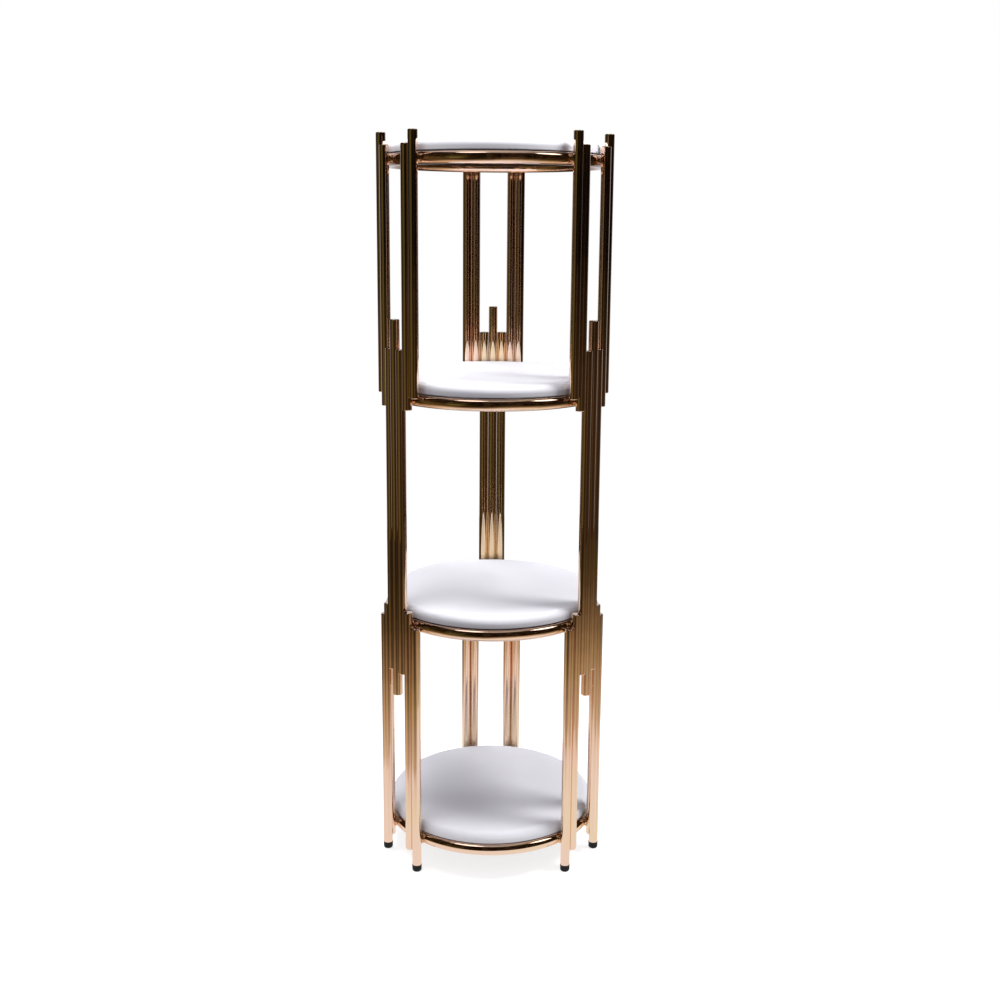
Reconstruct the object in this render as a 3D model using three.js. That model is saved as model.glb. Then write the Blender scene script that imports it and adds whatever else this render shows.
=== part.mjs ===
// Tall four-tier round display stand, in millimetres, +Z up.
//
// Four horizontal hoops of round tube each carry a round white shelf. Three
// columns stand against the outside of the hoops: two at the front and one at
// the rear. A column is a fan of vertical tubes side by side in seven slots
// along the hoops' rim. Its tubes are staggered, so that each end stops at a
// different height, and the two outermost run down to the floor on rubber feet.
//
// The origin is on the floor, at the middle of the object's bounding box.

import * as THREE from 'three';

// Hoops
const HOOP_RADIUS = 150; // centre line of the tube
const HOOP_TUBE_RADIUS = 8.75;
const BOTTOM_HOOP_HEIGHT = 47;
const TIER_SPACING = 322;
const HOOP_SEAM_GAP = 0.5; // left open where the bent tube's ends meet

// Vertical tubes
const TUBE_RADIUS = 6.6;
const TUBE_SPACE = 0.6; // clear space between neighbours
const TUBE_END_ROUND = 1.4;
const VENT_RADIUS = 1.5; // plating vent in the lower end cap
const WALL = 1; // of every metal tube

// Where each kind of tube starts and stops, from the hoops' centre lines
const TUBE_KINDS = [
  { name: 'upper_outer', slots: [-3, 3], from: ['upper', 4.5], to: ['top', 35.5] },
  { name: 'upper_inner', slots: [-2, 2], from: ['upper', -13], to: ['top', 18.5] },
  { name: 'middle_side', slots: [-1, 1], from: ['lower', -73.5], to: ['upper', 69] },
  { name: 'middle_centre', slots: [0], from: ['lower', -109], to: ['upper', 109] },
  {
    name: 'lower_inner',
    slots: [-2, 2],
    from: ['bottom', -17],
    to: ['lower', 20],
    topOffset: { front_left: 1.5, rear: -3 }, // their tops aren't quite level between columns
  },
];
const LEG_SLOTS = [-3, 3];
const LEG_RISE = 1.5; // of a leg's top above the lower hoop's centre line

// Columns, by the direction of their middle slot: 0 is the front, +90 is +X
const COLUMN_ANGLES = { front_left: -55, front_right: 55, rear: 180 };

// Shelves
const SHELF_RADIUS = 152.5;
const SHELF_THICKNESS = 16;
const SHELF_TOP_ROUND = 10.5;
const SHELF_BOTTOM_ROUND = 1.5;

// Rubber feet
const FOOT_RADIUS = 6.9;
const FOOT_HEIGHT = 10; // of the part below the tube
const FOOT_EDGE_ROUND = 3;
const FOOT_STEM_LENGTH = 14;

// Clearance left between pieces that touch
const CONTACT_GAP = 0.3;

// Facets
const HOOP_STEPS = 40;
const HOOP_SECTION_SIDES = 8;
const TUBE_SIDES = 12;
const SHELF_SIDES = 48;
const ROUND_STEPS = 1;
const SHELF_ROUND_STEPS = 6;

// Worked out from the dimensions above
const HOOP_HEIGHTS = {
  bottom: BOTTOM_HOOP_HEIGHT,
  lower: BOTTOM_HOOP_HEIGHT + TIER_SPACING,
  upper: BOTTOM_HOOP_HEIGHT + 2 * TIER_SPACING,
  top: BOTTOM_HOOP_HEIGHT + 3 * TIER_SPACING,
};
const COLUMN_RADIUS = HOOP_RADIUS + HOOP_TUBE_RADIUS + CONTACT_GAP + TUBE_RADIUS;
const SLOT_ANGLE = 2 * Math.asin((TUBE_RADIUS + TUBE_SPACE / 2) / COLUMN_RADIUS);
const REAR_REACH = COLUMN_RADIUS + TUBE_RADIUS;
const FRONT_REACH = HOOP_RADIUS + HOOP_TUBE_RADIUS;
const AXIS_Y = (FRONT_REACH - REAR_REACH) / 2;
const FOOT_STEM_RADIUS = TUBE_RADIUS - WALL - CONTACT_GAP;

const gold = () => new THREE.MeshStandardMaterial({ color: 0xe0b48c, roughness: 0.1, metalness: 1 });
const white = () => new THREE.MeshStandardMaterial({ color: 0xf4f3f5, roughness: 0.25, metalness: 0 });
const rubber = () => new THREE.MeshStandardMaterial({ color: 0x16161a, roughness: 0.85, metalness: 0 });

const stand = new THREE.Group();
stand.position.set(0, AXIS_Y, 0);

function addMesh(name, geometry, material, x, y, z) {
  const mesh = new THREE.Mesh(geometry, material);
  mesh.name = name;
  mesh.position.set(x, y, z);
  stand.add(mesh);
  return mesh;
}

// Solid turned about Z from an outline of [radius, height] pairs
function turned(outline, sides) {
  const points = outline.map(([radius, height]) => new THREE.Vector2(radius, height));
  return new THREE.LatheGeometry(points, sides).rotateX(Math.PI / 2);
}

// Quarter round of an outline about a centre, turning anticlockwise from an angle in quarters
function quarterRound(centreRadius, centreHeight, round, startQuarter, steps = ROUND_STEPS) {
  const points = [];
  for (let step = 0; step <= steps; step += 1) {
    const angle = (startQuarter + step / steps) * (Math.PI / 2);
    const radius = centreRadius + round * Math.cos(angle);
    points.push([radius, centreHeight + round * Math.sin(angle)]);
  }
  return points;
}

// Place in the plan at a distance from the stand's axis, in a direction from the front
function planPoint(distance, angle) {
  return [distance * Math.sin(angle), -distance * Math.cos(angle)];
}

// --- Hoops ---

class HoopLine extends THREE.Curve {
  getPoint(t) {
    const seamAngle = HOOP_SEAM_GAP / HOOP_RADIUS;
    const angle = Math.PI + seamAngle / 2 + t * (2 * Math.PI - seamAngle);
    const [x, y] = planPoint(HOOP_RADIUS, angle);
    return new THREE.Vector3(x, y, 0);
  }
}

function circlePoints(radius) {
  const points = [];
  for (let side = 0; side < HOOP_SECTION_SIDES; side += 1) {
    const angle = (side / HOOP_SECTION_SIDES) * 2 * Math.PI;
    points.push(new THREE.Vector2(radius * Math.cos(angle), radius * Math.sin(angle)));
  }
  return points;
}

function hoopGeometry() {
  const section = new THREE.Shape(circlePoints(HOOP_TUBE_RADIUS));
  section.holes.push(new THREE.Path(circlePoints(HOOP_TUBE_RADIUS - WALL)));
  const options = { steps: HOOP_STEPS, extrudePath: new HoopLine(), bevelEnabled: false };
  return new THREE.ExtrudeGeometry(section, options);
}

for (const [tier, height] of Object.entries(HOOP_HEIGHTS)) {
  addMesh(`hoop_${tier}`, hoopGeometry(), gold(), 0, 0, height);
}

// --- Shelves ---

// A board with a deeply rounded upper rim, its underside at height 0
function shelfGeometry() {
  const lowerRim = SHELF_RADIUS - SHELF_BOTTOM_ROUND;
  const upperRim = SHELF_RADIUS - SHELF_TOP_ROUND;
  const roundStart = SHELF_THICKNESS - SHELF_TOP_ROUND;
  const outline = [
    [0, 0],
    ...quarterRound(lowerRim, SHELF_BOTTOM_ROUND, SHELF_BOTTOM_ROUND, -1),
    ...quarterRound(upperRim, roundStart, SHELF_TOP_ROUND, 0, SHELF_ROUND_STEPS),
    [0, SHELF_THICKNESS],
  ];
  return turned(outline, SHELF_SIDES);
}

for (const [tier, height] of Object.entries(HOOP_HEIGHTS)) {
  const underside = height + HOOP_TUBE_RADIUS + CONTACT_GAP;
  addMesh(`shelf_${tier}`, shelfGeometry(), white(), 0, 0, underside);
}

// --- Vertical tubes ---

// Top end and outer wall, shared by every tube: a flat cap with a rounded rim
function tubeTopOutline(length) {
  const rim = TUBE_RADIUS - TUBE_END_ROUND;
  return [...quarterRound(rim, length - TUBE_END_ROUND, TUBE_END_ROUND, 0), [0, length]];
}

// Hollow tube capped at both ends, with a vent through the lower cap
function cappedTubeGeometry(length) {
  const bore = TUBE_RADIUS - WALL;
  const rim = TUBE_RADIUS - TUBE_END_ROUND;
  const outline = [
    [0, length - WALL],
    [bore, length - WALL],
    [bore, WALL],
    [VENT_RADIUS, WALL],
    [VENT_RADIUS, 0],
    ...quarterRound(rim, TUBE_END_ROUND, TUBE_END_ROUND, -1),
    ...tubeTopOutline(length),
  ];
  return turned(outline, TUBE_SIDES);
}

// Hollow tube capped at the top and open at the bottom, to take a foot
function legGeometry(length) {
  const bore = TUBE_RADIUS - WALL;
  const outline = [
    [0, length - WALL],
    [bore, length - WALL],
    [bore, 0],
    [TUBE_RADIUS, 0],
    ...tubeTopOutline(length),
  ];
  return turned(outline, TUBE_SIDES);
}

// --- Feet ---

// Rounded glide with a stem that pushes up into the leg
function footGeometry() {
  const rim = FOOT_RADIUS - FOOT_EDGE_ROUND;
  const stemTop = FOOT_HEIGHT + FOOT_STEM_LENGTH;
  const outline = [
    [0, 0],
    ...quarterRound(rim, FOOT_EDGE_ROUND, FOOT_EDGE_ROUND, -1),
    [FOOT_RADIUS, FOOT_HEIGHT],
    [FOOT_STEM_RADIUS, FOOT_HEIGHT],
    [FOOT_STEM_RADIUS, stemTop],
    [0, stemTop],
  ];
  return turned(outline, TUBE_SIDES);
}

// --- Columns ---

// Left and right are as seen from outside the stand, facing the column
function slotName(slot) {
  if (slot === 0) return '';
  return slot < 0 ? '_left' : '_right';
}

function addAtSlot(name, geometry, material, columnAngle, slot, height) {
  const angle = THREE.MathUtils.degToRad(columnAngle) + slot * SLOT_ANGLE;
  const [x, y] = planPoint(COLUMN_RADIUS, angle);
  const mesh = addMesh(name, geometry, material, x, y, height);
  mesh.rotation.z = angle;
}

for (const [column, columnAngle] of Object.entries(COLUMN_ANGLES)) {
  for (const kind of TUBE_KINDS) {
    const bottom = HOOP_HEIGHTS[kind.from[0]] + kind.from[1];
    const topOffset = kind.topOffset?.[column] ?? 0;
    const top = HOOP_HEIGHTS[kind.to[0]] + kind.to[1] + topOffset;
    for (const slot of kind.slots) {
      const name = `${column}_${kind.name}${slotName(slot)}`;
      addAtSlot(name, cappedTubeGeometry(top - bottom), gold(), columnAngle, slot, bottom);
    }
  }
  for (const slot of LEG_SLOTS) {
    const legBottom = FOOT_HEIGHT + CONTACT_GAP;
    const legLength = HOOP_HEIGHTS.lower + LEG_RISE - legBottom;
    const legName = `${column}_leg${slotName(slot)}`;
    addAtSlot(legName, legGeometry(legLength), gold(), columnAngle, slot, legBottom);
    addAtSlot(`${column}_foot${slotName(slot)}`, footGeometry(), rubber(), columnAngle, slot, 0);
  }
}

const object = new THREE.Group();
object.add(stand);

export default object;
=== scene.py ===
# Tall four-tier display stand: gold-plated tube frame, white shelves, rubber feet.
# Lengths are in metres. +Z is up and the stand's open front faces -Y.

import math
from collections import namedtuple

import bpy
from mathutils import Matrix, Vector, noise


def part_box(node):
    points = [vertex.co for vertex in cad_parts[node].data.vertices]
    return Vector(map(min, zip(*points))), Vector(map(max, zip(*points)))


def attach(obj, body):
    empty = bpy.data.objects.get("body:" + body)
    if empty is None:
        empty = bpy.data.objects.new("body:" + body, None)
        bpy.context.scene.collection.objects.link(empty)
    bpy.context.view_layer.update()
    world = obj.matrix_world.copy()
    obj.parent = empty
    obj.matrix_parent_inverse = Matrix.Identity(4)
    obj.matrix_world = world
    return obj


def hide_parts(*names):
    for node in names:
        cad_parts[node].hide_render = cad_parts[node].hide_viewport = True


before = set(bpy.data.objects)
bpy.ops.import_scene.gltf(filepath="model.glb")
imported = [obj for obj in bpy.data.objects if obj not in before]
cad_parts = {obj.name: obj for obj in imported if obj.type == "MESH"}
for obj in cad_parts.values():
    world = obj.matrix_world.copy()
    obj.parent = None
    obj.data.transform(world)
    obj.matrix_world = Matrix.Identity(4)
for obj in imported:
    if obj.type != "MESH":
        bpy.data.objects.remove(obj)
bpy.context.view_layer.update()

MM = 0.001
TIERS = ("bottom", "lower", "upper", "top")
FRAME_BODY = "stand_frame"

# Camera
CAMERA_DISTANCE = 1.7444  # from the hoops' common axis, in plan
CAMERA_HEIGHT = 0.9329
CAMERA_BEARING = -0.405  # of its place: degrees from the front towards +X
CAMERA_AIM = -0.745  # the way it looks in plan: degrees from +Y towards -X
CAMERA_PITCH = 10.991  # degrees below the horizon
CAMERA_ROLL = 0.429  # degrees
CAMERA_SENSOR = 36  # millimetres, as is the lens
CAMERA_LENS = 43.50
CAMERA_SHIFT = -0.045  # of the picture's height
CAMERA_RANGE = (0.01, 50)

# Tubes
TUBE_SIDES = 40
TUBE_SWELL = 0.2 * MM  # added to each radius, so that neighbours look as good as touching
END_ROUND = 1.4 * MM
LEG_RIM_ROUND = 0.3 * MM
WALL = 1.0 * MM
VENT_RADIUS = 1.5 * MM
ROUND_STEPS = 5

# Hoops
HOOP_STEPS = 180
HOOP_SECTION_SIDES = 32
SEAM_HALF_WIDTH = 1.8 * MM
SEAM_RISE = 0.18 * MM
SEAM_STEPS = 12
SEAM_LUMPS = 9  # round the tube
SEAM_LUMP_SIZE = 0.35  # of the bead's rise

# Welds between tubes and hoops
WELD_HEIGHT = 4.6 * MM  # half the bead's length, up the tube
WELD_DEPTH = 2.3 * MM  # half its size along the hoop's radius
WELD_WIDTH = 2.4 * MM  # half its size along the hoop
WELD_OFFSET = 0.35 * WELD_DEPTH  # of a bead's middle from the hoop's outside
WELD_RIPPLES = 5
WELD_RIPPLE_SIZE = 0.07
WELD_BLUNTNESS = 0.7  # 1 would make the beads plain ellipsoids
WELD_LUMP_SIZE = 0.16
WELD_LUMPS_ROUND, WELD_LUMPS_ALONG = 3, 2  # size of a bead in the noise that makes its lumps
WELD_LUMP_SHIFT = 9.1  # in that noise, from one bead to the next
WELD_RINGS = 18
WELD_SIDES = 16
# In tube radii: the widest pitch at which tubes are neighbours, how far the edge of a bead between
# them stays from a tube's middle, and how far from the middle of an outermost tube its bead lies
NEIGHBOUR_PITCH = 2.6
CREVICE_INSET = 0.62
OUTER_BEAD_REACH = 0.74

# Shelves
SHELF_SIDES = 160
SHELF_TOP_ROUND = 10.5 * MM
SHELF_BOTTOM_ROUND = 1.5 * MM
SHELF_TOP_ROUND_STEPS = 14
SHELF_BOTTOM_ROUND_STEPS = 4
SHELF_MIDDLE_RING = 0.5  # of the flat faces' radius

# Feet
FOOT_SIDES = 40
FOOT_LIP_RISE = 0.25 * MM
FOOT_LIP_HEIGHT = 1.2 * MM
FOOT_BOTTOM_ROUND = 3.2 * MM
FOOT_TREAD_DEPTH = 0.5 * MM
FOOT_TREAD_SHARE = 0.6  # of the flat underside's radius
FOOT_CLEARANCE = 0.15 * MM  # round the stem and under the leg
FINE_ROUND_STEPS = 2  # for the smallest rounds of legs and feet

Round = namedtuple("Round", "x y radius low high")


# --- Places, read from the frame ---


def round_of(node):
    """Axis, outer radius and height range of an upright round node, from its vertices."""
    low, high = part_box(node)
    x, y = (low.x + high.x) / 2, (low.y + high.y) / 2
    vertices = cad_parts[node].data.vertices
    radius = max(math.hypot(v.co.x - x, v.co.y - y) for v in vertices)
    return Round(x, y, radius, low.z, high.z)


hoops = {tier: round_of("hoop_" + tier) for tier in TIERS}
hoop_tube_radius = (hoops["bottom"].high - hoops["bottom"].low) / 2
hoop_line_radius = hoops["bottom"].radius - hoop_tube_radius
axis_x, axis_y = hoops["bottom"].x, hoops["bottom"].y

foot_nodes = [n for n in sorted(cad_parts) if "_foot" in n]
tube_nodes = [
    n for n in sorted(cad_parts)
    if n not in foot_nodes and not n.startswith(("hoop", "shelf"))
]
tubes = {}
for tube_node in tube_nodes:
    slim = round_of(tube_node)
    tubes[tube_node] = slim._replace(radius=slim.radius + TUBE_SWELL)


# --- Camera ---


def make_camera():
    """The front view: a little left of the middle, level with the upper tiers and looking down."""
    data = bpy.data.cameras.new("camera")
    data.sensor_width = CAMERA_SENSOR
    data.lens = CAMERA_LENS
    data.shift_y = CAMERA_SHIFT
    data.clip_start, data.clip_end = CAMERA_RANGE
    camera = bpy.data.objects.new("camera", data)
    bpy.context.scene.collection.objects.link(camera)
    bearing, aim = math.radians(CAMERA_BEARING), math.radians(CAMERA_AIM)
    pitch, roll = math.radians(CAMERA_PITCH), math.radians(CAMERA_ROLL)
    forward = Vector((
        -math.sin(aim) * math.cos(pitch),
        math.cos(aim) * math.cos(pitch),
        -math.sin(pitch),
    ))
    level = Vector((math.cos(aim), math.sin(aim), 0))
    upward = level.cross(forward)
    right = level * math.cos(roll) + upward * math.sin(roll)
    up = upward * math.cos(roll) - level * math.sin(roll)
    turn = Matrix((right, up, -forward)).transposed()
    place = Vector((
        axis_x + CAMERA_DISTANCE * math.sin(bearing),
        axis_y - CAMERA_DISTANCE * math.cos(bearing),
        CAMERA_HEIGHT,
    ))
    camera.matrix_world = Matrix.Translation(place) @ turn.to_4x4()
    bpy.context.scene.camera = camera


make_camera()


# --- Materials ---

UNIT_SPAN = (0.0, 1.0)
NOISE_SPAN = (0.3, 0.7)  # where most values of a noise lie
BLACK = (0, 0, 0)
MIX_COLOURS, MIX_RESULT = (6, 7), 2  # the sockets of a Mix node that take and give colours

# The settings of a noise, and of a relief made from one: how deep and how strong it is
Grain = namedtuple("Grain", "scale detail roughness", defaults=(3.0, 0.5))
Relief = namedtuple("Relief", "grain depth strength")

# Plating. Tones are (value of a noise, colour) stops, here and in the other materials
ROSE_TONES = ((0.36, (0.87, 0.625, 0.48)), (0.5, (0.88, 0.64, 0.51)), (0.64, (0.86, 0.65, 0.46)))
YELLOW_TONES = ((0.36, (0.82, 0.62, 0.37)), (0.5, (0.85, 0.65, 0.42)), (0.64, (0.86, 0.66, 0.47)))
PLATING_DRIFT = Grain(7.0, 2.0)
PLATING_MARKS = Grain(1.0, 2.0)
PLATING_ROUGHNESS = (0.04, 0.07)
MARKS_ROUND_TUBE = (240.0, 240.0, 1500.0)  # polishing marks per metre along X, Y and Z
MARKS_ALL_WAYS = (700.0, 700.0, 700.0)
DRAWN_TUBE = Relief(Grain(38.0, 1.0), 0.25 * MM, 0.5)
BENT_TUBE = Relief(Grain(150.0, 2.0), 0.2 * MM, 0.5)

# Weld beads
WELD_TONES = ((0.35, (0.42, 0.25, 0.13)), (0.6, (0.80, 0.56, 0.36)))
WELD_BLOTCHES = Grain(260.0, 3.0)
WELD_ROUGHNESS = (0.14, 0.34)
WELD_SKIN = Relief(Grain(900.0, 3.0), 0.1 * MM, 0.5)

# The shelves' lacquer, and painted shade: a dark brown underside that stands in for the shade under
# each board
LACQUER_TONES = ((0.3, (0.845, 0.838, 0.875)), (0.7, (0.88, 0.873, 0.912)))
LACQUER_CLOUD = Grain(9.0, 4.0, 0.6)
LACQUER_SMEARS = Grain(1.0, 4.0, 0.6)
SMEARS_PER_METRE = (16.0, 42.0, 16.0)
LACQUER_ROUGHNESS = (0.42, 0.56)
ORANGE_PEEL = Relief(Grain(420.0, 2.0), 0.04 * MM, 0.3)
# Painted shade on the undersides: dark brown tones under a fibrous noise
UNDERSIDE_SHADE_TONES = ((0.35, (0.016, 0.011, 0.008)), (0.65, (0.034, 0.024, 0.017)))
UNDERSIDE_SHADE_GRAIN = Grain(90.0, 5.0, 0.7)
UNDERSIDE_SHADE_EDGE = (-0.995, -0.975)  # the normal's upward part where the painted shade of the underside gives way to lacquer

# The feet's rubber
RUBBER_TONES = ((0.42, (0.003, 0.003, 0.004)), (0.75, (0.014, 0.014, 0.015)))
RUBBER_DUST = Grain(160.0, 4.0, 0.65)
RUBBER_ROUGHNESS = (0.45, 0.7)
RUBBER_SHINE = 0.28
RUBBER_SKIN = Relief(Grain(1800.0, 2.0), 0.05 * MM, 0.6)


def new_material(name):
    """A Principled material: its node tree, the shader and the object's own coordinates."""
    material = bpy.data.materials.new(name)
    material.use_nodes = True
    tree = material.node_tree
    shader = tree.nodes["Principled BSDF"]
    place = tree.nodes.new("ShaderNodeTexCoord")
    return material, tree, shader, place.outputs["Object"]


def stretched(tree, place, scale):
    mapping = tree.nodes.new("ShaderNodeMapping")
    mapping.inputs["Scale"].default_value = scale
    tree.links.new(place, mapping.inputs["Vector"])
    return mapping.outputs["Vector"]


def axes(tree, vector):
    """A vector's parts, by "X", "Y" and "Z"."""
    node = tree.nodes.new("ShaderNodeSeparateXYZ")
    tree.links.new(vector, node.inputs["Vector"])
    return node.outputs


def noise_value(tree, place, grain):
    node = tree.nodes.new("ShaderNodeTexNoise")
    node.inputs["Scale"].default_value = grain.scale
    node.inputs["Detail"].default_value = grain.detail
    node.inputs["Roughness"].default_value = grain.roughness
    tree.links.new(place, node.inputs["Vector"])
    return node.outputs["Fac"]


def ramp(tree, value, stops):
    """A colour ramp through (position, colour) stops."""
    node = tree.nodes.new("ShaderNodeValToRGB")
    elements = node.color_ramp.elements
    while len(elements) < len(stops):
        elements.new(0.5)
    for element, (position, colour) in zip(elements, stops):
        element.position = position
        element.color = (*colour, 1)
    tree.links.new(value, node.inputs["Fac"])
    return node.outputs["Color"]


def remapped(tree, value, targets, sources=NOISE_SPAN):
    """A value moved from one range to another and held within it."""
    node = tree.nodes.new("ShaderNodeMapRange")
    node.inputs["From Min"].default_value, node.inputs["From Max"].default_value = sources
    node.inputs["To Min"].default_value, node.inputs["To Max"].default_value = targets
    tree.links.new(value, node.inputs["Value"])
    return node.outputs["Result"]


def combined(tree, blend, first, second, share=None):
    """Two colours put together; the share is how much the second one counts."""
    node = tree.nodes.new("ShaderNodeMix")
    node.data_type = "RGBA"
    node.blend_type = blend
    node.inputs["Factor"].default_value = 1
    if share:
        tree.links.new(share, node.inputs["Factor"])
    for socket, colour in zip(MIX_COLOURS, (first, second)):
        tree.links.new(colour, node.inputs[socket])
    return node.outputs[MIX_RESULT]


def bump(tree, shader, place, relief):
    node = tree.nodes.new("ShaderNodeBump")
    node.inputs["Strength"].default_value = relief.strength
    node.inputs["Distance"].default_value = relief.depth
    tree.links.new(noise_value(tree, place, relief.grain), node.inputs["Height"])
    tree.links.new(node.outputs["Normal"], shader.inputs["Normal"])


def gold_material(name, tones, marks_per_metre, relief):
    """Polished plating: its tone drifts over decimetres, under polishing marks and faint ripples."""
    material, tree, shader, place = new_material(name)
    shader.inputs["Metallic"].default_value = 1.0
    colour = ramp(tree, noise_value(tree, place, PLATING_DRIFT), tones)
    tree.links.new(colour, shader.inputs["Base Color"])
    marks = noise_value(tree, stretched(tree, place, marks_per_metre), PLATING_MARKS)
    tree.links.new(remapped(tree, marks, PLATING_ROUGHNESS), shader.inputs["Roughness"])
    bump(tree, shader, place, relief)
    return material


def weld_material():
    """Plated weld: darker and duller in blotches."""
    material, tree, shader, place = new_material("weld_gold")
    shader.inputs["Metallic"].default_value = 1.0
    blotches = noise_value(tree, place, WELD_BLOTCHES)
    tree.links.new(ramp(tree, blotches, WELD_TONES), shader.inputs["Base Color"])
    tree.links.new(remapped(tree, blotches, WELD_ROUGHNESS), shader.inputs["Roughness"])
    bump(tree, shader, place, WELD_SKIN)
    return material


def shelf_material():
    """Satin white lacquer with a faint orange peel, and painted shade: a dark brown underside."""
    material, tree, shader, place = new_material("white_lacquer")
    white = ramp(tree, noise_value(tree, place, LACQUER_CLOUD), LACQUER_TONES)
    # Painted shade: the underside is dark brown wherever the normal points down
    painted_underside_shade = ramp(tree, noise_value(tree, place, UNDERSIDE_SHADE_GRAIN), UNDERSIDE_SHADE_TONES)
    normal = tree.nodes.new("ShaderNodeTexCoord").outputs["Normal"]
    share = remapped(tree, axes(tree, normal)["Z"], UNIT_SPAN, UNDERSIDE_SHADE_EDGE)
    tree.links.new(combined(tree, "MIX", painted_underside_shade, white, share), shader.inputs["Base Color"])
    smears = noise_value(tree, stretched(tree, place, SMEARS_PER_METRE), LACQUER_SMEARS)
    tree.links.new(remapped(tree, smears, LACQUER_ROUGHNESS), shader.inputs["Roughness"])
    bump(tree, shader, place, ORANGE_PEEL)
    return material


def rubber_material():
    """Matt black rubber with a little dust."""
    material, tree, shader, place = new_material("black_rubber")
    dust = noise_value(tree, place, RUBBER_DUST)
    tree.links.new(ramp(tree, dust, RUBBER_TONES), shader.inputs["Base Color"])
    tree.links.new(remapped(tree, dust, RUBBER_ROUGHNESS), shader.inputs["Roughness"])
    shader.inputs["Specular IOR Level"].default_value = RUBBER_SHINE
    bump(tree, shader, place, RUBBER_SKIN)
    return material


gold_rose = gold_material("gold_rose", ROSE_TONES, MARKS_ROUND_TUBE, DRAWN_TUBE)
gold_yellow = gold_material("gold_yellow", YELLOW_TONES, MARKS_ROUND_TUBE, DRAWN_TUBE)
gold_hoop = gold_material("gold_hoop", ROSE_TONES, MARKS_ALL_WAYS, BENT_TUBE)
weld_gold = weld_material()
white_lacquer = shelf_material()
black_rubber = rubber_material()


# --- Mesh building ---


def add_piece(name, vertices, faces, material, body, slot, *nodes):
    """Makes a smooth-shaded piece that rides on a body and stands for CAD nodes."""
    mesh = bpy.data.meshes.new(name)
    mesh.from_pydata(vertices, [], faces)
    mesh.validate()
    mesh.materials.append(material)
    mesh.polygons.foreach_set("use_smooth", [True] * len(mesh.polygons))
    piece = bpy.data.objects.new(name, mesh)
    bpy.context.scene.collection.objects.link(piece)
    weighted = piece.modifiers.new("weighted normals", "WEIGHTED_NORMAL")
    weighted.mode = "FACE_AREA"
    weighted.keep_sharp = True
    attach(piece, body)
    if nodes:
        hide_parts(*nodes)
    return piece


def arc(centre_radius, centre_height, size, start, steps=ROUND_STEPS):
    """Quarter circle of outline points, anticlockwise from an angle given in quarters."""
    points = []
    for step in range(steps + 1):
        angle = (start + step / steps) * math.pi / 2
        radius = centre_radius + size * math.cos(angle)
        points.append((radius, centre_height + size * math.sin(angle)))
    return points


def turned(outline, x, y, sides):
    """Vertices and faces of an outline of (radius, height) points turned about an upright axis.

    Points at radius 0 become a single vertex. An outline with none closes on itself."""
    vertices, rings = [], []
    for radius, height in outline:
        if radius == 0:
            rings.append([len(vertices)])
            vertices.append((x, y, height))
            continue
        rings.append(list(range(len(vertices), len(vertices) + sides)))
        for side in range(sides):
            angle = 2 * math.pi * side / sides
            vertices.append((x + radius * math.cos(angle), y + radius * math.sin(angle), height))
    pairs = list(zip(rings, rings[1:]))
    if len(rings[0]) > 1:
        pairs.append((rings[-1], rings[0]))
    faces = []
    for lower, upper in pairs:
        for side in range(sides):
            after = (side + 1) % sides
            if len(lower) == 1:
                faces.append((lower[0], upper[after], upper[side]))
            elif len(upper) == 1:
                faces.append((lower[side], lower[after], upper[0]))
            else:
                faces.append((lower[side], lower[after], upper[after], upper[side]))
    return vertices, faces


# --- Vertical tubes ---


def tube_top(radius, high):
    """Outer end of a tube's outline: the wall turns over a rounded rim into a flat cap."""
    return [*arc(radius - END_ROUND, high - END_ROUND, END_ROUND, 0), (0, high)]


def capped_tube_outline(tube):
    """A hollow tube with both ends capped and a vent in the lower cap."""
    bore, rim = tube.radius - WALL, tube.radius - END_ROUND
    return [
        (0, tube.high - WALL),
        (bore, tube.high - WALL),
        (bore, tube.low + WALL),
        (VENT_RADIUS, tube.low + WALL),
        (VENT_RADIUS, tube.low),
        *arc(rim, tube.low + END_ROUND, END_ROUND, -1),
        *tube_top(tube.radius, tube.high),
    ]


def leg_outline(tube):
    """A hollow tube capped at the top, its open lower rim eased round the foot's stem."""
    bore, round_height = tube.radius - WALL, tube.low + LEG_RIM_ROUND
    return [
        (0, tube.high - WALL),
        (bore, tube.high - WALL),
        (bore, round_height),
        *arc(bore + LEG_RIM_ROUND, round_height, LEG_RIM_ROUND, -2, FINE_ROUND_STEPS),
        *arc(tube.radius - LEG_RIM_ROUND, round_height, LEG_RIM_ROUND, -1, FINE_ROUND_STEPS),
        *tube_top(tube.radius, tube.high),
    ]


for node, tube in tubes.items():
    outline = leg_outline(tube) if "_leg" in node else capped_tube_outline(tube)
    shape = turned(outline, tube.x, tube.y, TUBE_SIDES)
    gold = gold_yellow if node.startswith("rear_middle") else gold_rose
    add_piece(node + "_tube", *shape, gold, FRAME_BODY, "gold_plated", node)


# --- Hoops ---


def seam_rise(along):
    """Height of the butt weld's bead above the tube, at a distance along the hoop from its middle."""
    across = abs(along) / SEAM_HALF_WIDTH
    return SEAM_RISE * (0.5 + 0.5 * math.cos(math.pi * across)) if across < 1 else 0.0


def hoop_stations():
    """Places along the hoop, from the seam at the rear, closer together at the seam's bead."""
    whole = 2 * math.pi * hoop_line_radius
    bead = [SEAM_HALF_WIDTH * (2 * step / SEAM_STEPS - 1) for step in range(SEAM_STEPS + 1)]
    start = SEAM_HALF_WIDTH
    rest = whole - 2 * SEAM_HALF_WIDTH
    return bead + [start + rest * step / HOOP_STEPS for step in range(1, HOOP_STEPS)]


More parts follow.
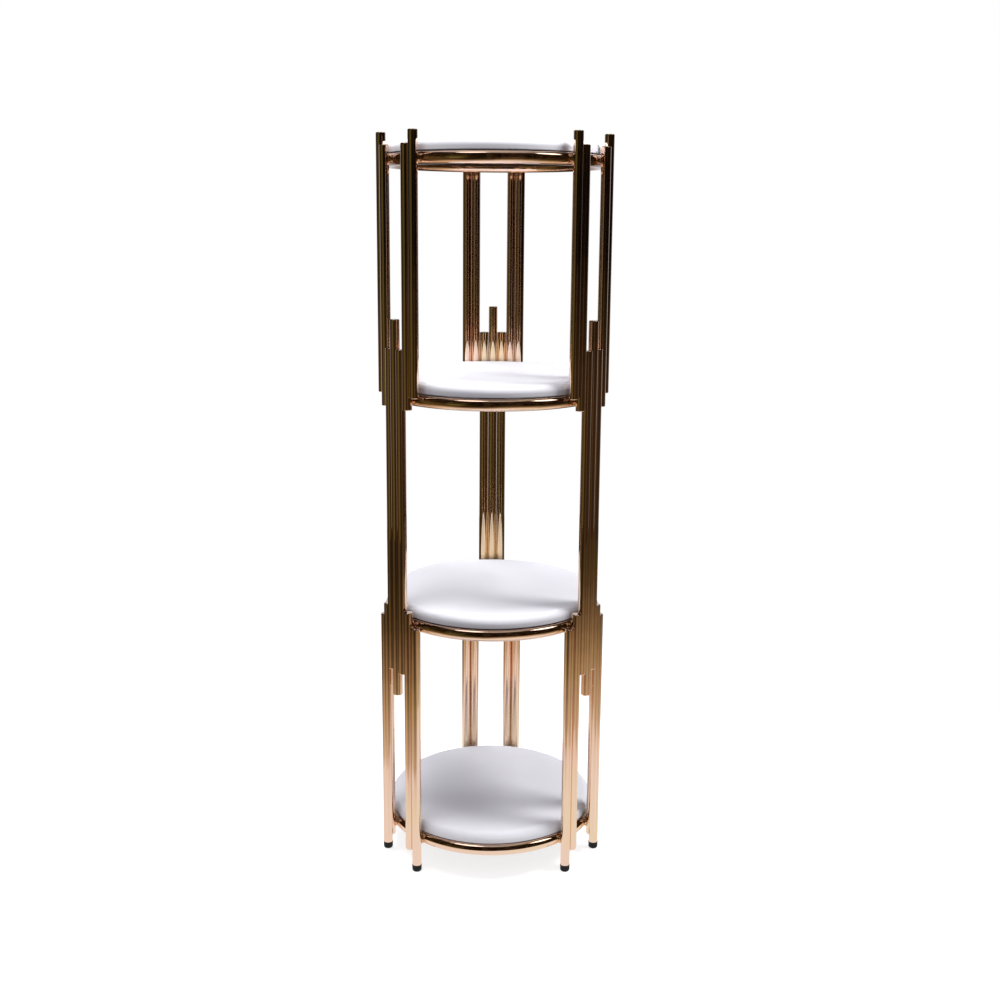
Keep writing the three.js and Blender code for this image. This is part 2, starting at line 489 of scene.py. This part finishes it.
def hoop_mesh(hoop):
    vertices, faces = [], []
    stations = hoop_stations()
    middle = (hoop.low + hoop.high) / 2
    for along in stations:
        angle = math.pi / 2 + along / hoop_line_radius
        for side in range(HOOP_SECTION_SIDES):
            turn = 2 * math.pi * side / HOOP_SECTION_SIDES
            lump = 1 + SEAM_LUMP_SIZE * math.sin(SEAM_LUMPS * turn)
            radius = hoop_tube_radius + seam_rise(along) * lump
            reach = hoop_line_radius + radius * math.cos(turn)
            vertices.append((
                hoop.x + reach * math.cos(angle),
                hoop.y + reach * math.sin(angle),
                middle + radius * math.sin(turn),
            ))
    count = len(stations)
    for station in range(count):
        here, there = station * HOOP_SECTION_SIDES, (station + 1) % count * HOOP_SECTION_SIDES
        for side in range(HOOP_SECTION_SIDES):
            after = (side + 1) % HOOP_SECTION_SIDES
            faces.append((here + side, there + side, there + after, here + after))
    return vertices, faces


for tier, hoop in hoops.items():
    node = "hoop_" + tier
    add_piece(node + "_ring", *hoop_mesh(hoop), gold_hoop, FRAME_BODY, "gold_plated", node)


# --- Welds ---


def crossing_tubes(hoop):
    """The tubes that pass a hoop, as sorted directions in plan, with their distance and radius."""
    middle = (hoop.low + hoop.high) / 2
    reach = hoop_tube_radius
    found = []
    for tube in tubes.values():
        if tube.low < middle + reach and tube.high > middle - reach:
            found.append((math.atan2(tube.y - axis_y, tube.x - axis_x) % (2 * math.pi), tube))
    return sorted(found, key=lambda item: item[0])


def weld_places(hoop):
    """Where beads go: one in each crevice between neighbours, and one beside each outermost tube.

    Each is (direction in plan, half width along the hoop, lowest height, highest height)."""
    found = crossing_tubes(hoop)
    middle = (hoop.low + hoop.high) / 2
    places = []
    for index, (angle, tube) in enumerate(found):
        before_angle, before = found[index - 1]
        gap = (angle - before_angle) % (2 * math.pi)
        distance = math.hypot(tube.x - axis_x, tube.y - axis_y)
        pitch = gap * distance
        low = max(tube.low, before.low, middle - WELD_HEIGHT)
        high = min(tube.high, before.high, middle + WELD_HEIGHT)
        if pitch < NEIGHBOUR_PITCH * tube.radius:
            places.append((angle - gap / 2, pitch / 2 - CREVICE_INSET * tube.radius, low, high))
            continue
        side = OUTER_BEAD_REACH * tube.radius / distance
        for edge_angle, edge in ((before_angle + side, before), (angle - side, tube)):
            low = max(edge.low, middle - WELD_HEIGHT)
            high = min(edge.high, middle + WELD_HEIGHT)
            places.append((edge_angle, WELD_WIDTH, low, high))
    return places


def weld_bead(vertices, angle, half_width, low, high, seed):
    """Adds the vertices of a rippled bead in the crevice between the hoop's outside and the tubes."""
    outward = Vector((math.cos(angle), math.sin(angle), 0))
    along = Vector((-math.sin(angle), math.cos(angle), 0))
    up = Vector((0, 0, 1))
    distance = hoop_line_radius + hoop_tube_radius + WELD_OFFSET
    centre = Vector((axis_x, axis_y, (low + high) / 2)) + outward * distance
    half_height = (high - low) / 2
    first = len(vertices)
    for ring in range(WELD_RINGS + 1):
        tilt = math.pi * ring / WELD_RINGS
        height = -math.cos(tilt)
        ripple = 1 + WELD_RIPPLE_SIZE * math.sin(WELD_RIPPLES * math.pi * height)
        spread = math.sin(tilt) ** WELD_BLUNTNESS * ripple if 0 < ring < WELD_RINGS else 0
        for side in range(WELD_SIDES):
            turn = 2 * math.pi * side / WELD_SIDES
            spot = Vector((
                WELD_LUMPS_ROUND * math.cos(turn),
                WELD_LUMPS_ROUND * math.sin(turn),
                WELD_LUMPS_ALONG * height + WELD_LUMP_SHIFT * seed,
            ))
            size = spread * (1 + WELD_LUMP_SIZE * noise.noise(spot))
            point = centre + up * (half_height * height)
            point += along * (half_width * size * math.cos(turn))
            point += outward * (WELD_DEPTH * size * math.sin(turn))
            vertices.append(tuple(point))
            if ring in (0, WELD_RINGS):
                break
    return first


def weld_mesh(hoop):
    vertices, faces = [], []
    for seed, (angle, half_width, low, high) in enumerate(weld_places(hoop)):
        bottom = weld_bead(vertices, angle, half_width, low, high, seed)
        top = len(vertices) - 1
        for ring in range(WELD_RINGS - 2):
            here = bottom + 1 + ring * WELD_SIDES
            for side in range(WELD_SIDES):
                after = (side + 1) % WELD_SIDES
                above = here + WELD_SIDES
                faces.append((here + side, here + after, above + after, above + side))
        last = top - WELD_SIDES
        for side in range(WELD_SIDES):
            after = (side + 1) % WELD_SIDES
            faces.append((bottom, bottom + 1 + after, bottom + 1 + side))
            faces.append((last + side, last + after, top))
    return vertices, faces


for tier, hoop in hoops.items():
    add_piece("welds_" + tier, *weld_mesh(hoop), weld_gold, FRAME_BODY, "gold_plated")


# --- Shelves ---


def shelf_outline(shelf):
    """A board with a deeply rounded upper rim and a narrow round below."""
    lower_rim = shelf.radius - SHELF_BOTTOM_ROUND
    upper_rim = shelf.radius - SHELF_TOP_ROUND
    lower_centre, upper_centre = shelf.low + SHELF_BOTTOM_ROUND, shelf.high - SHELF_TOP_ROUND
    return [
        (0, shelf.low),
        (lower_rim * SHELF_MIDDLE_RING, shelf.low),
        *arc(lower_rim, lower_centre, SHELF_BOTTOM_ROUND, -1, SHELF_BOTTOM_ROUND_STEPS),
        *arc(upper_rim, upper_centre, SHELF_TOP_ROUND, 0, SHELF_TOP_ROUND_STEPS),
        (upper_rim * SHELF_MIDDLE_RING, shelf.high),
        (0, shelf.high),
    ]


for tier in TIERS:
    node = "shelf_" + tier
    shelf = round_of(node)
    board = turned(shelf_outline(shelf), shelf.x, shelf.y, SHELF_SIDES)
    add_piece(node + "_board", *board, white_lacquer, tier + "_shelf", "shelf_white", node)


# --- Feet ---


def foot_outline(foot, leg):
    """A rubber ferrule: recessed tread, rounded bottom, straight side, small lip under the leg."""
    top = leg.low - FOOT_CLEARANCE
    rim = foot.radius - FOOT_BOTTOM_ROUND
    stem = leg.radius - WALL - FOOT_CLEARANCE
    tread = rim * FOOT_TREAD_SHARE
    return [
        (0, foot.low + FOOT_TREAD_DEPTH),
        (tread, foot.low + FOOT_TREAD_DEPTH),
        (tread + FOOT_TREAD_DEPTH, foot.low),
        *arc(rim, foot.low + FOOT_BOTTOM_ROUND, FOOT_BOTTOM_ROUND, -1),
        (foot.radius, top - FOOT_LIP_HEIGHT - FOOT_LIP_RISE),
        *arc(foot.radius, top - FOOT_LIP_HEIGHT / 2, FOOT_LIP_RISE, -1, FINE_ROUND_STEPS),
        *arc(foot.radius, top - FOOT_LIP_RISE, FOOT_LIP_RISE, 0, FINE_ROUND_STEPS),
        (stem, top),
        (stem, foot.high),
        (0, foot.high),
    ]


for node in foot_nodes:
    foot = round_of(node)
    leg = tubes[node.replace("_foot", "_leg")]
    add_piece(
        node + "_ferrule",
        *turned(foot_outline(foot, leg), foot.x, foot.y, FOOT_SIDES),
        black_rubber, FRAME_BODY, "rubber_black", node,
    )


# --- Studio ---

# The floor that the camera sees; distances are in metres from the middle
FLOOR_RADIUS = 2.0
FLOOR_SIDES = 128
FLOOR_DROP = 0.2 * MM
FLOOR_PAINT = ((0.3, (0.50, 0.50, 0.50)), (0.7, (0.52, 0.52, 0.52)))
FLOOR_GRAIN = Grain(30.0, 4.0)
FLOOR_ROUGHNESS = 0.9
FLOOR_SHINE = 0.1
FLOOR_GLOW = 0.78
FLOOR_FADE = (0.35, 1.1)

# Painted light: the colours that the floor glows with for every ray but the camera's, and so what the
# gold mirrors of it: a pale sheet by the stand, wood-brown further out
FLOOR_MIRRORED = (
    (0.0, (0.95, 0.95, 0.96)),
    (0.34, (0.93, 0.92, 0.90)),
    (0.53, (0.84, 0.78, 0.72)),
    (0.60, (0.58, 0.48, 0.34)),
    (0.88, (0.36, 0.27, 0.155)),
    (1.10, (0.19, 0.135, 0.070)),
    (1.45, (0.070, 0.046, 0.019)),
    (2.0, (0.044, 0.030, 0.014)),
)
# Distances are multiplied before they pick a colour: by the cosine to the direction in which the
# sheet reaches furthest, and by the sectors' noise, which makes its edge uneven
SHEET_DIRECTION = (0.6, -0.8, 0.0)
SHEET_FACTORS, SHEET_COSINES = (1.25, 1.0), (-0.35, 0.5)
EDGE_FACTORS, EDGE_NOISE = (1.15, 0.85), (0.35, 0.65)
# Tones of the mirrored floor round the stand, by bearing from the front towards +X in degrees
FLOOR_TONES = (
    (-180, 0.60), (-135, 0.25), (-105, 0.40), (-78, 2.0), (-55, 1.6), (-32, 0.40), (-8, 0.50),
    (15, 1.0), (38, 1.35), (55, 0.80), (75, 1.4), (100, 0.85), (125, 1.3), (155, 0.6), (180, 0.6),
)
FLOOR_TONES_SHARE, FLOOR_TONES_FADE = (0.0, 0.95), (0.35, 0.95)
# Share of the mirrored floor that lights the shelves
FLOOR_BOUNCE, FLOOR_BOUNCE_FADE = (1.15, 0.30), (0.32, 0.52)

# A disc-shaped soft light: bearing from the front towards +X and elevation in degrees, distance
# from the stand's middle, radius, power in watts, and how bright it looks in the gold
SoftLight = namedtuple("SoftLight", "name bearing elevation distance radius power mirrored")
SOFT_LIGHTS = (
    SoftLight("key_light", 80, 53, 1.88, 0.35, 29.0, 2.6),
    SoftLight("fill_light", -50, 71, 1.64, 0.37, 14.0, 1.5),
    SoftLight("rear_light", -140, 62, 1.30, 0.30, 7.0, 0.6),
)
LIGHT_TARGET_HEIGHT = 0.5
MIRRORED_LIGHT_COSINES = (0.978, 0.990)

# Levels are grey (share, level) stops between two heights, a height being a direction's upward
# part. A patch is a spot of colour round a direction, fading in between two cosines to it, and
# dimmed by its levels if it has any
Levels = namedtuple("Levels", "heights stops")
Patch = namedtuple("Patch", "aim cosines colour levels", defaults=(None,))

# The dim room that the gold mirrors
CLUTTER = Grain(9.0, 5.0, 0.75)
CLUTTER_TONES = (
    (0.42, (0.0015, 0.001, 0.0006)),
    (0.56, (0.004, 0.0025, 0.0015)),
    (0.70, (0.06, 0.042, 0.024)),
)
MOTTLE = Grain(7.0, 6.0, 0.8)
MOTTLE_TONES = (
    (0.47, (0.0, 0.0, 0.0)),
    (0.53, (0.024, 0.010, 0.004)),
    (0.60, (0.036, 0.034, 0.012)),
    (0.66, (0.30, 0.23, 0.14)),
)
MOTTLE_LEVELS = Levels(UNIT_SPAN, ((0.04, 0.0), (0.14, 1.0), (0.75, 1.0), (0.9, 0.2)))
BELOW_HORIZON, BELOW_HORIZON_HEIGHTS = (0.036, 0.023, 0.010), (-0.14, -0.02)
OLIVE_CORNER = Patch(
    (-0.79, -0.61, 0.05), (0.80, 0.93), (0.066, 0.060, 0.020),
    Levels(UNIT_SPAN, ((0.06, 1.0), (0.16, 0.15))),
)
CEILING = Patch((0, 0, 1), (0.86, 0.99), (0.55, 0.52, 0.48))
BACKDROP = Patch(
    (0, 1, 0), (0.50, 0.85), (0.62, 0.64, 0.70),
    Levels((-0.5, 0.6), ((0.0, 0.2), (0.35, 1.0), (0.8, 1.0), (1.0, 0.0))),
)
# Light and dark sectors of the room, as a noise over bearings in radians
SECTOR_SCALE, SECTOR_DETAIL = 0.9, 2.0
SECTOR_TONES = (
    (0.32, (0.45, 0.40, 0.30)),
    (0.40, (1.5, 1.6, 1.3)),
    (0.47, (0.50, 0.42, 0.34)),
    (0.53, (1.3, 1.1, 0.95)),
    (0.58, (0.55, 0.50, 0.42)),
    (0.65, (1.9, 1.9, 2.0)),
    (0.72, (0.8, 0.75, 0.60)),
)

# The soft dome that lights the shelves
DOME_FRONT = Patch(
    (0, -1, 0), (-0.3, 0.6), (0.34, 0.34, 0.385),
    Levels((-0.1, 1.0), ((0.0, 0.0), (0.12, 1.0), (0.6, 1.0), (1.0, 0.3))),
)
DOME_REAR = Patch(
    (0, 1, 0), (-0.2, 0.8), (0.44, 0.45, 0.51),
    Levels((-0.1, 1.0), ((0.0, 0.0), (0.12, 1.0), (1.0, 1.0))),
)
DOME_OVERHEAD = Patch((0, 0, 1), (0.5, 0.95), (0.62, 0.62, 0.65))


def emitting(tree, colour, strength=None):
    node = tree.nodes.new("ShaderNodeEmission")
    node.inputs["Strength"].default_value = 1
    if strength:
        tree.links.new(strength, node.inputs["Strength"])
    tree.links.new(colour, node.inputs["Color"])
    return node.outputs["Emission"]


def mixed(tree, share, first, second):
    """Two shaders mixed; the share is how much of the second one shows."""
    node = tree.nodes.new("ShaderNodeMixShader")
    for socket, shader in zip(node.inputs, (share, first, second)):
        tree.links.new(shader, socket)
    return node.outputs["Shader"]


def arithmetic(tree, operation, first, second):
    node = tree.nodes.new("ShaderNodeMath")
    node.operation = operation
    for socket, value in zip(node.inputs, (first, second)):
        if isinstance(value, (int, float)):
            socket.default_value = value
        else:
            tree.links.new(value, socket)
    return node.outputs["Value"]


def distance_of(tree, vector):
    node = tree.nodes.new("ShaderNodeVectorMath")
    node.operation = "LENGTH"
    tree.links.new(vector, node.inputs[0])
    return node.outputs["Value"]


def part_along(tree, vector, aim):
    """The part of a vector along a direction of length 1; of a direction, the cosine to it."""
    node = tree.nodes.new("ShaderNodeVectorMath")
    node.operation = "DOT_PRODUCT"
    node.inputs[1].default_value = aim
    tree.links.new(vector, node.inputs[0])
    return node.outputs["Value"]


def bearing(tree, direction):
    """Bearing of a direction from the stand: 0 is the front, positive towards +X, in radians."""
    parts = axes(tree, direction)
    forwards = arithmetic(tree, "MULTIPLY", parts["Y"], -1.0)
    return arithmetic(tree, "ARCTAN2", parts["X"], forwards)


def sectors(tree, direction):
    """Noise that changes only with the bearing of a direction from the stand."""
    node = tree.nodes.new("ShaderNodeTexNoise")
    node.noise_dimensions = "1D"
    node.inputs["Scale"].default_value = SECTOR_SCALE
    node.inputs["Detail"].default_value = SECTOR_DETAIL
    tree.links.new(bearing(tree, direction), node.inputs["W"])
    return node.outputs["Fac"]


def greys(stops):
    return [(position, (level, level, level)) for position, level in stops]


def floor_tones(tree, place):
    """Light and dark parts of the floor round the stand."""
    turn = remapped(tree, bearing(tree, place), UNIT_SPAN, (-math.pi, math.pi))
    return ramp(tree, turn, greys([((degrees + 180) / 360, tone) for degrees, tone in FLOOR_TONES]))


def mirrored_floor(tree, place, distance):
    """The floor's colour in the gold, which it glows with as painted light: a pale sheet with an
    uneven edge on a darker floor.
    """
    cosine = arithmetic(tree, "DIVIDE", part_along(tree, place, SHEET_DIRECTION), distance)
    aside = remapped(tree, cosine, SHEET_FACTORS, SHEET_COSINES)
    uneven = remapped(tree, sectors(tree, place), EDGE_FACTORS, EDGE_NOISE)
    reach = arithmetic(tree, "MULTIPLY", arithmetic(tree, "MULTIPLY", distance, aside), uneven)
    share = remapped(tree, reach, UNIT_SPAN, (0.0, FLOOR_RADIUS))
    colour = ramp(tree, share, [(radius / FLOOR_RADIUS, tone) for radius, tone in FLOOR_MIRRORED])
    far = remapped(tree, distance, FLOOR_TONES_SHARE, FLOOR_TONES_FADE)
    return combined(tree, "MULTIPLY", colour, floor_tones(tree, place), far)


def floor_material():
    """Pale paint that fades out for the camera, and for every other ray the floor glowing with painted
    light in the mirrored floor's colours.
    """
    material, tree, shader, place = new_material("pale_floor")
    paint = ramp(tree, noise_value(tree, place, FLOOR_GRAIN), FLOOR_PAINT)
    tree.links.new(paint, shader.inputs["Base Color"])
    shader.inputs["Roughness"].default_value = FLOOR_ROUGHNESS
    shader.inputs["Specular IOR Level"].default_value = FLOOR_SHINE
    shader.inputs["Emission Color"].default_value = (1, 1, 1, 1)
    shader.inputs["Emission Strength"].default_value = FLOOR_GLOW
    distance = distance_of(tree, place)
    clear = tree.nodes.new("ShaderNodeBsdfTransparent").outputs["BSDF"]
    faded = mixed(tree, remapped(tree, distance, UNIT_SPAN, FLOOR_FADE), shader.outputs["BSDF"], clear)
    colour = mirrored_floor(tree, place, distance)
    bounce = emitting(tree, colour, remapped(tree, distance, FLOOR_BOUNCE, FLOOR_BOUNCE_FADE))
    path = tree.nodes.new("ShaderNodeLightPath").outputs
    unseen = mixed(tree, path["Is Diffuse Ray"], emitting(tree, colour), bounce)
    shown = mixed(tree, path["Is Camera Ray"], unseen, faded)
    tree.links.new(shown, tree.nodes["Material Output"].inputs["Surface"])
    return material


def make_floor():
    mesh = bpy.data.meshes.new("floor")
    ring = []
    for side in range(FLOOR_SIDES):
        angle = 2 * math.pi * side / FLOOR_SIDES
        ring.append((FLOOR_RADIUS * math.cos(angle), FLOOR_RADIUS * math.sin(angle), -FLOOR_DROP))
    mesh.from_pydata(ring, [], [tuple(range(FLOOR_SIDES))])
    mesh.materials.append(floor_material())
    floor = bpy.data.objects.new("floor", mesh)
    bpy.context.scene.collection.objects.link(floor)


def make_light(light):
    """Adds a soft light, unseen by the camera and the gold, and gives the direction it lies in."""
    data = bpy.data.lights.new(light.name, "AREA")
    data.shape = "DISK"
    data.size = 2 * light.radius
    data.energy = light.power
    lamp = bpy.data.objects.new(light.name, data)
    bpy.context.scene.collection.objects.link(lamp)
    turn, rise = math.radians(light.bearing), math.radians(light.elevation)
    away = Vector((math.sin(turn) * math.cos(rise), -math.cos(turn) * math.cos(rise), math.sin(rise)))
    lamp.location = Vector((axis_x, axis_y, LIGHT_TARGET_HEIGHT)) + away * light.distance
    lamp.rotation_mode = "QUATERNION"
    lamp.rotation_quaternion = away.to_track_quat("Z", "Y")
    lamp.visible_camera = False
    lamp.visible_glossy = False
    return away


def by_height(tree, direction, levels):
    """Grey levels that follow the height of a direction."""
    share = remapped(tree, axes(tree, direction)["Z"], UNIT_SPAN, levels.heights)
    return ramp(tree, share, greys(levels.stops))


def patch_of(tree, direction, patch):
    """A patch's colour in a direction, black outside it."""
    cosine = part_along(tree, direction, Vector(patch.aim).normalized())
    share = remapped(tree, cosine, UNIT_SPAN, patch.cosines)
    spot = ramp(tree, share, ((0.0, BLACK), (1.0, patch.colour)))
    if not patch.levels:
        return spot
    return combined(tree, "MULTIPLY", spot, by_height(tree, direction, patch.levels))


def room_walls(tree, direction):
    """Dim walls with clutter and mottled light, brownish low down and olive in one corner."""
    clutter = ramp(tree, noise_value(tree, direction, CLUTTER), CLUTTER_TONES)
    mottle = ramp(tree, noise_value(tree, direction, MOTTLE), MOTTLE_TONES)
    mottle = combined(tree, "MULTIPLY", mottle, by_height(tree, direction, MOTTLE_LEVELS))
    low = remapped(tree, axes(tree, direction)["Z"], UNIT_SPAN, BELOW_HORIZON_HEIGHTS)
    below = ramp(tree, low, ((0.0, BELOW_HORIZON), (1.0, BLACK)))
    olive = patch_of(tree, direction, OLIVE_CORNER)
    walls = combined(tree, "ADD", clutter, mottle)
    return combined(tree, "ADD", walls, combined(tree, "ADD", below, olive))


def mirrored_room(tree, direction, lights):
    """The walls in light and dark sectors, a ceiling, a pale backdrop behind, and the lights."""
    streaks = ramp(tree, sectors(tree, direction), SECTOR_TONES)
    walls = combined(tree, "MULTIPLY", room_walls(tree, direction), streaks)
    ceiling, backdrop = (patch_of(tree, direction, patch) for patch in (CEILING, BACKDROP))
    room = combined(tree, "ADD", walls, combined(tree, "ADD", ceiling, backdrop))
    for aim, level in lights:
        glow = patch_of(tree, direction, Patch(aim, MIRRORED_LIGHT_COSINES, (level, level, level)))
        room = combined(tree, "ADD", room, glow)
    return room


def soft_dome(tree, direction):
    patches = (DOME_FRONT, DOME_REAR, DOME_OVERHEAD)
    front, rear, overhead = (patch_of(tree, direction, patch) for patch in patches)
    return combined(tree, "ADD", combined(tree, "ADD", front, rear), overhead)


def background(tree, colour=None):
    """A world shader of a colour, white if none is given."""
    node = tree.nodes.new("ShaderNodeBackground")
    node.inputs["Color"].default_value = (1, 1, 1, 1)
    if colour:
        tree.links.new(colour, node.inputs["Color"])
    return node.outputs["Background"]


def make_world(lights):
    """White to the eye, a soft dome to the white shelves, and a dim room for the gold to mirror."""
    world = bpy.data.worlds.new("studio")
    bpy.context.scene.world = world
    world.use_nodes = True
    tree = world.node_tree
    tree.nodes.clear()
    direction = tree.nodes.new("ShaderNodeTexCoord").outputs["Generated"]
    dome = background(tree, soft_dome(tree, direction))
    room = background(tree, mirrored_room(tree, direction, lights))
    path = tree.nodes.new("ShaderNodeLightPath").outputs
    lit = mixed(tree, path["Is Glossy Ray"], dome, room)
    seen = mixed(tree, path["Is Camera Ray"], lit, background(tree))
    output = tree.nodes.new("ShaderNodeOutputWorld")
    tree.links.new(seen, output.inputs["Surface"])


make_floor()
make_world([(make_light(light), light.mirrored) for light in SOFT_LIGHTS])
bpy.context.scene.view_settings.view_transform = "Standard"
